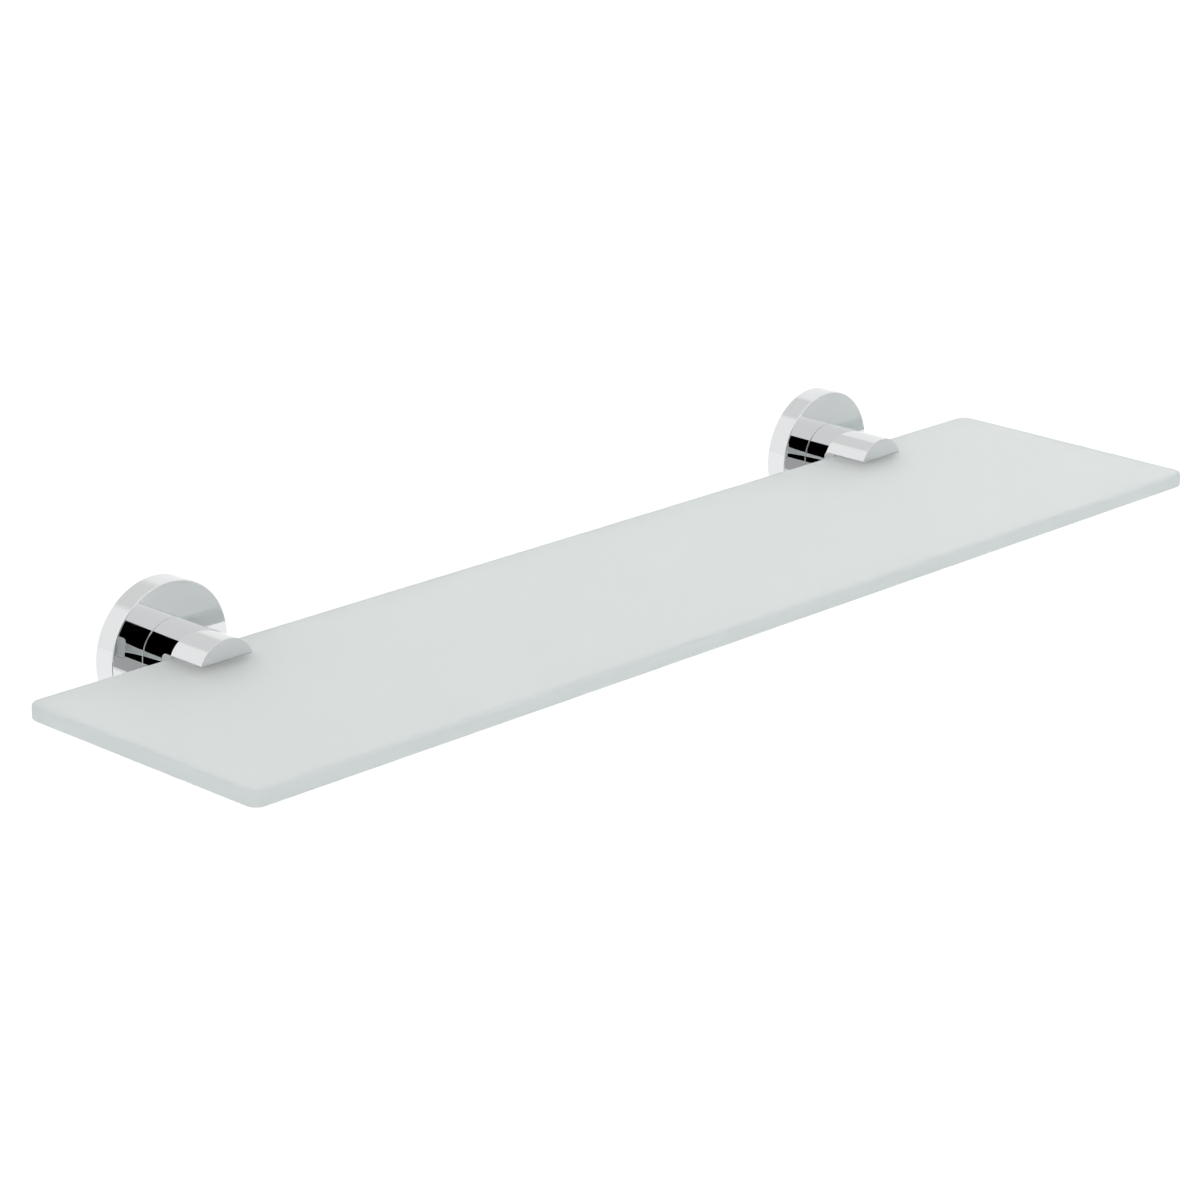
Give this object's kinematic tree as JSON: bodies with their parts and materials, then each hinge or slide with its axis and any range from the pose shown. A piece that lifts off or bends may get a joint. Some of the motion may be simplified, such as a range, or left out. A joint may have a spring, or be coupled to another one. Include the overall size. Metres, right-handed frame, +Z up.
{
  "type": "wall shelf with brackets",
  "caption": "Long frosted glass shelf clamped in two slotted round chromed arms, each standing out from a flat round wall rose.",
  "frame": {"origin": "on the wall, midway between the two roses' centres, at the height of the arms' axes", "axes": "+X to the right seen from the room, along the glass; +Y into the wall, the shelf stands out towards -Y; +Z up"},
  "size_m": [0.53, 0.1445, 0.055],
  "materials": {
    "frosted_glass": "satin acid-etched toughened glass with ground edges",
    "chrome": "polished chrome plating",
    "plate_brass": "turned, unplated",
    "screw_steel": "zinc-plated",
    "lock_screw_steel": "plain stainless",
    "pad_nylon": "turned nylon",
    "liner_clear": "clear soft vinyl"
  },
  "bodies": {
    "brackets": {"left_wall_plate": "plate_brass", "left_wall_rose": "chrome", "left_arm": "chrome", "left_arm_screw": "screw_steel", "left_arm_lock_washer": "screw_steel", "left_arm_locating_pin": "screw_steel", "left_glass_liner": "liner_clear", "right_wall_plate": "plate_brass", "right_wall_rose": "chrome", "right_arm": "chrome", "right_arm_screw": "screw_steel", "right_arm_lock_washer": "screw_steel", "right_arm_locating_pin": "screw_steel", "right_glass_liner": "liner_clear"},
    "glass": {"glass_shelf": "frosted_glass"},
    "left_rose_lock_screw": {"left_rose_lock_screw": "lock_screw_steel"},
    "left_clamp_pad": {"left_clamp_pad": "pad_nylon"},
    "left_clamp_screw": {"left_clamp_screw": "lock_screw_steel"},
    "right_rose_lock_screw": {"right_rose_lock_screw": "lock_screw_steel"},
    "right_clamp_pad": {"right_clamp_pad": "pad_nylon"},
    "right_clamp_screw": {"right_clamp_screw": "lock_screw_steel"}
  },
  "joints": [
    {"name": "glass_slide", "type": "slide", "parent": "brackets", "child": "glass", "axis": [0, -1, 0], "range_m": [0, 0.025]},
    {"name": "left_clamp_travel", "type": "slide", "parent": "brackets", "child": "left_clamp_pad", "axis": [0, 0, -1], "range_m": [0, 0.002]},
    {"name": "left_clamp_turn", "type": "hinge", "parent": "left_clamp_pad", "child": "left_clamp_screw", "pos_m": [-0.1865, -0.033, -0.007], "axis": [0, 0, -1], "range_deg": [0, 720]},
    {"name": "left_rose_lock", "type": "slide", "parent": "brackets", "child": "left_rose_lock_screw", "axis": [0, 0, -1], "range_m": [0, 0.002]},
    {"name": "right_clamp_travel", "type": "slide", "parent": "brackets", "child": "right_clamp_pad", "axis": [0, 0, -1], "range_m": [0, 0.002]},
    {"name": "right_clamp_turn", "type": "hinge", "parent": "right_clamp_pad", "child": "right_clamp_screw", "pos_m": [0.1865, -0.033, -0.007], "axis": [0, 0, -1], "range_deg": [0, 720]},
    {"name": "right_rose_lock", "type": "slide", "parent": "brackets", "child": "right_rose_lock_screw", "axis": [0, 0, -1], "range_m": [0, 0.002]}
  ],
  "couplings": [
    {"joint": "left_clamp_turn", "follows": "left_clamp_travel", "rad_per_m": 6283.2},
    {"joint": "right_clamp_turn", "follows": "right_clamp_travel", "rad_per_m": 6283.2}
  ]
}
